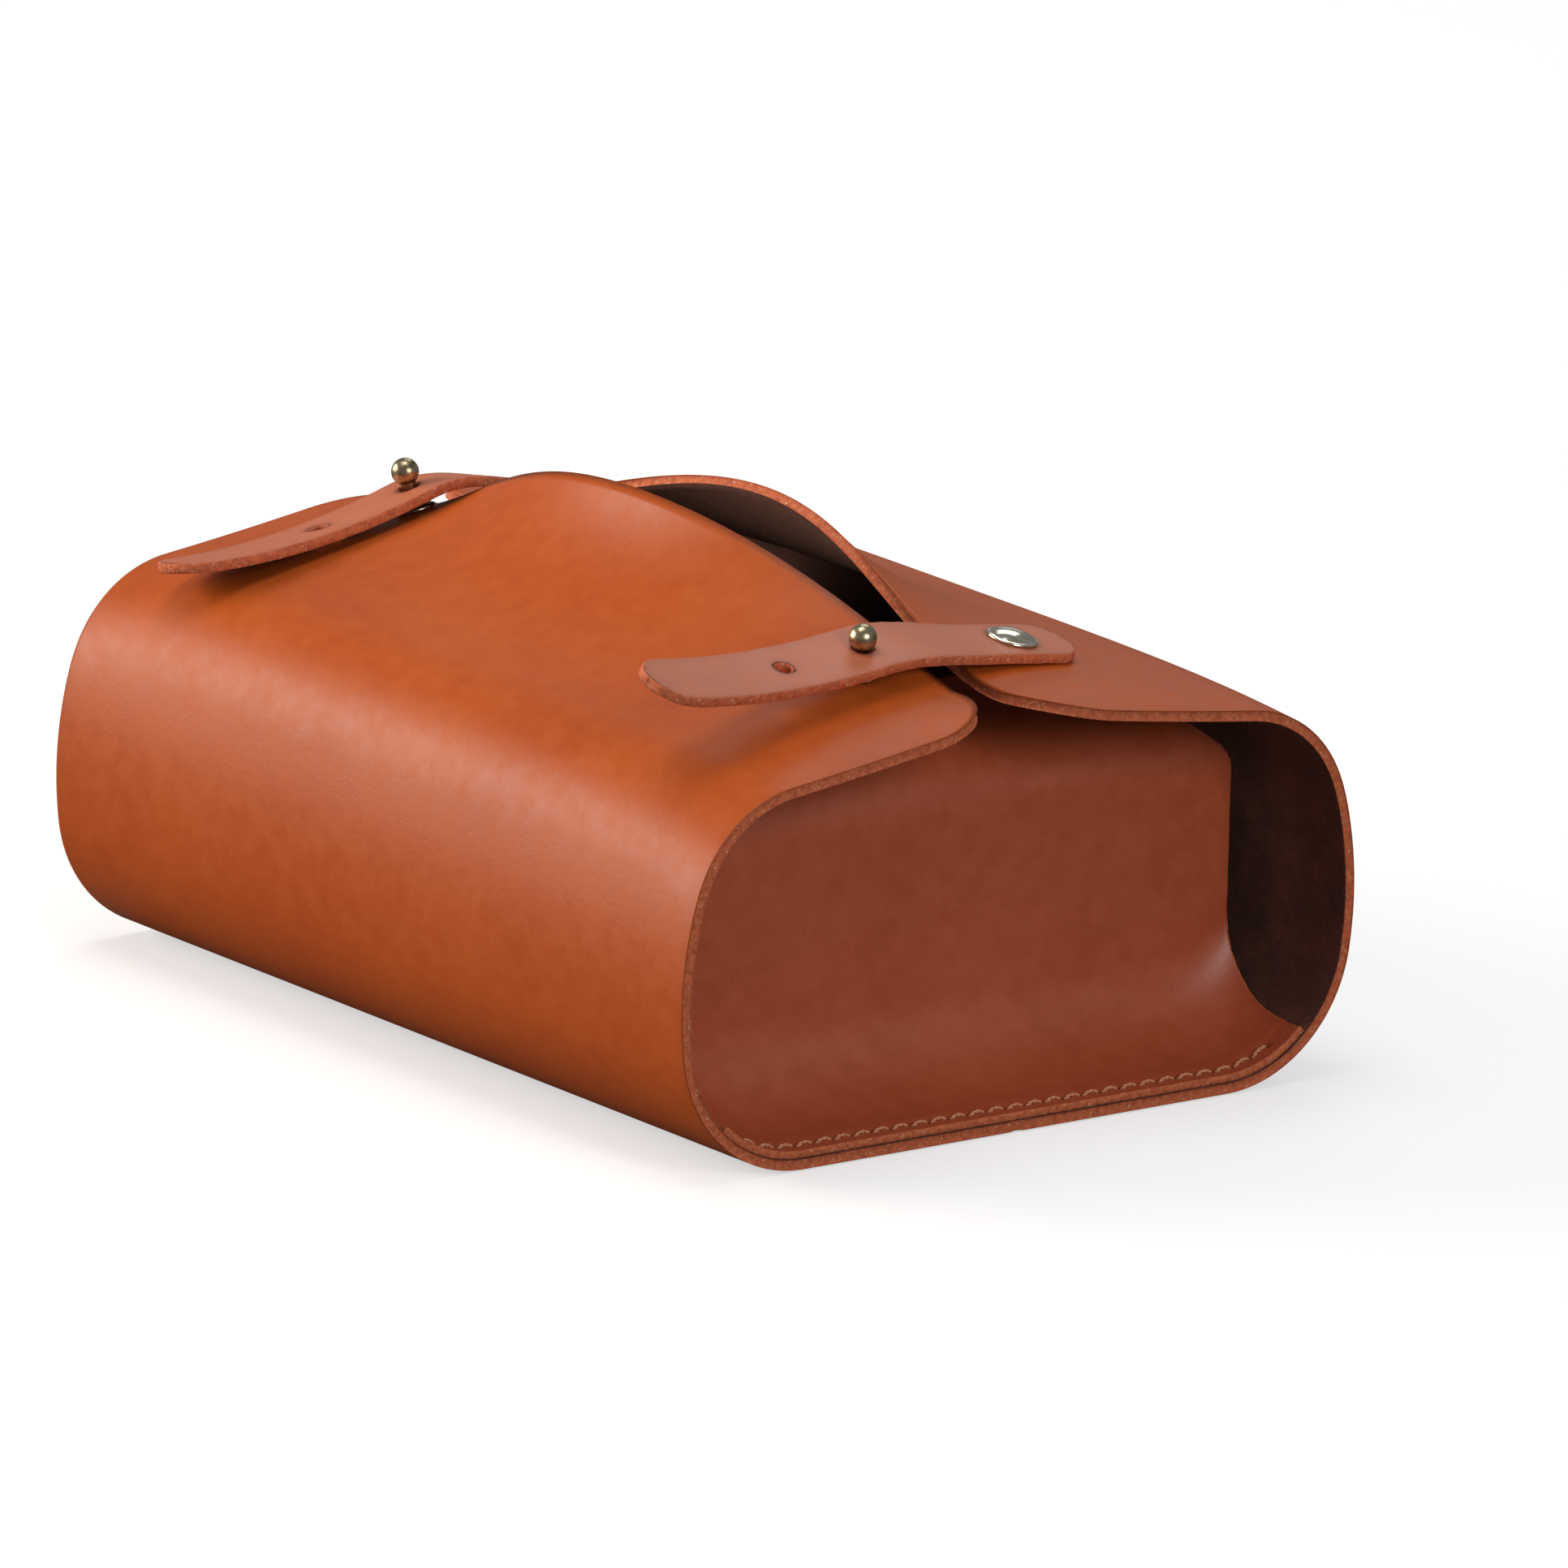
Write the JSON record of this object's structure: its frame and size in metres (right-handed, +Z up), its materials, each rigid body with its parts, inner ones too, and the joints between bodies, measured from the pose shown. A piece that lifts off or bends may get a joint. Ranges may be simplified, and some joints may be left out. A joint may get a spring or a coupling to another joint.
{
  "type": "tissue box cover",
  "caption": "Open-topped wrapped leather box for tissues with scooped stitched end panels, two folding top flaps and straps that button over ball studs.",
  "frame": {"origin": "centre of the underside, on the surface it stands on", "axes": "+X along the length towards the front end, +Y across towards the riveted flap, +Z up"},
  "size_m": [0.18, 0.1408, 0.0925],
  "materials": {
    "wrap_leather": "smooth vegetable-tanned leather, soft sheen",
    "panel_leather": "smooth leather in a deeper red-brown, soft sheen",
    "strap_leather": "smooth leather with raw cut edges",
    "thread": "waxed sewing thread",
    "rivet_metal": "polished pale gold plating",
    "stud_metal": "polished pale gold plating"
  },
  "bodies": {
    "wrap": {"base_wrap": "wrap_leather", "front_panel_foot": "panel_leather", "rear_panel_foot": "panel_leather", "front_seam_thread": "thread", "rear_seam_thread": "thread"},
    "near_flap": {"near_flap": "wrap_leather", "front_stud": "stud_metal", "rear_stud": "stud_metal", "front_stud_screw": "stud_metal", "rear_stud_screw": "stud_metal"},
    "far_flap": {"far_flap": "wrap_leather", "front_strap_root": "strap_leather", "rear_strap_root": "strap_leather", "front_rivet_cap": "rivet_metal", "rear_rivet_cap": "rivet_metal", "front_rivet_post": "rivet_metal", "rear_rivet_post": "rivet_metal"},
    "front_panel": {"front_end_panel": "panel_leather", "front_panel_tab": "panel_leather"},
    "rear_panel": {"rear_end_panel": "panel_leather", "rear_panel_tab": "panel_leather"},
    "front_strap": {"front_strap": "strap_leather"},
    "rear_strap": {"rear_strap": "strap_leather"}
  },
  "joints": [
    {"name": "near_flap_open", "type": "hinge", "parent": "wrap", "child": "near_flap", "pos_m": [0, -0.06781, 0.04974], "axis": [1, 0, 0], "range_deg": [0, 120]},
    {"name": "far_flap_open", "type": "hinge", "parent": "wrap", "child": "far_flap", "pos_m": [0, 0.06781, 0.04974], "axis": [-1, 0, 0], "range_deg": [0, 120]},
    {"name": "front_panel_fold", "type": "hinge", "parent": "wrap", "child": "front_panel", "pos_m": [0.085, 0, 0.01], "axis": [0, 1, 0], "range_deg": [0, 90], "deforming": ["front_panel_tab"]},
    {"name": "rear_panel_fold", "type": "hinge", "parent": "wrap", "child": "rear_panel", "pos_m": [-0.085, 0, 0.01], "axis": [0, -1, 0], "range_deg": [0, 90], "deforming": ["rear_panel_tab"]},
    {"name": "front_strap_lift", "type": "hinge", "parent": "far_flap", "child": "front_strap", "pos_m": [0.0619, 0.0107, 0.0764], "axis": [-1, 0, 0], "range_deg": [0, 110], "deforming": ["front_strap"]},
    {"name": "rear_strap_lift", "type": "hinge", "parent": "far_flap", "child": "rear_strap", "pos_m": [-0.0619, 0.0107, 0.0764], "axis": [-1, 0, 0], "range_deg": [0, 110], "deforming": ["rear_strap"]}
  ]
}
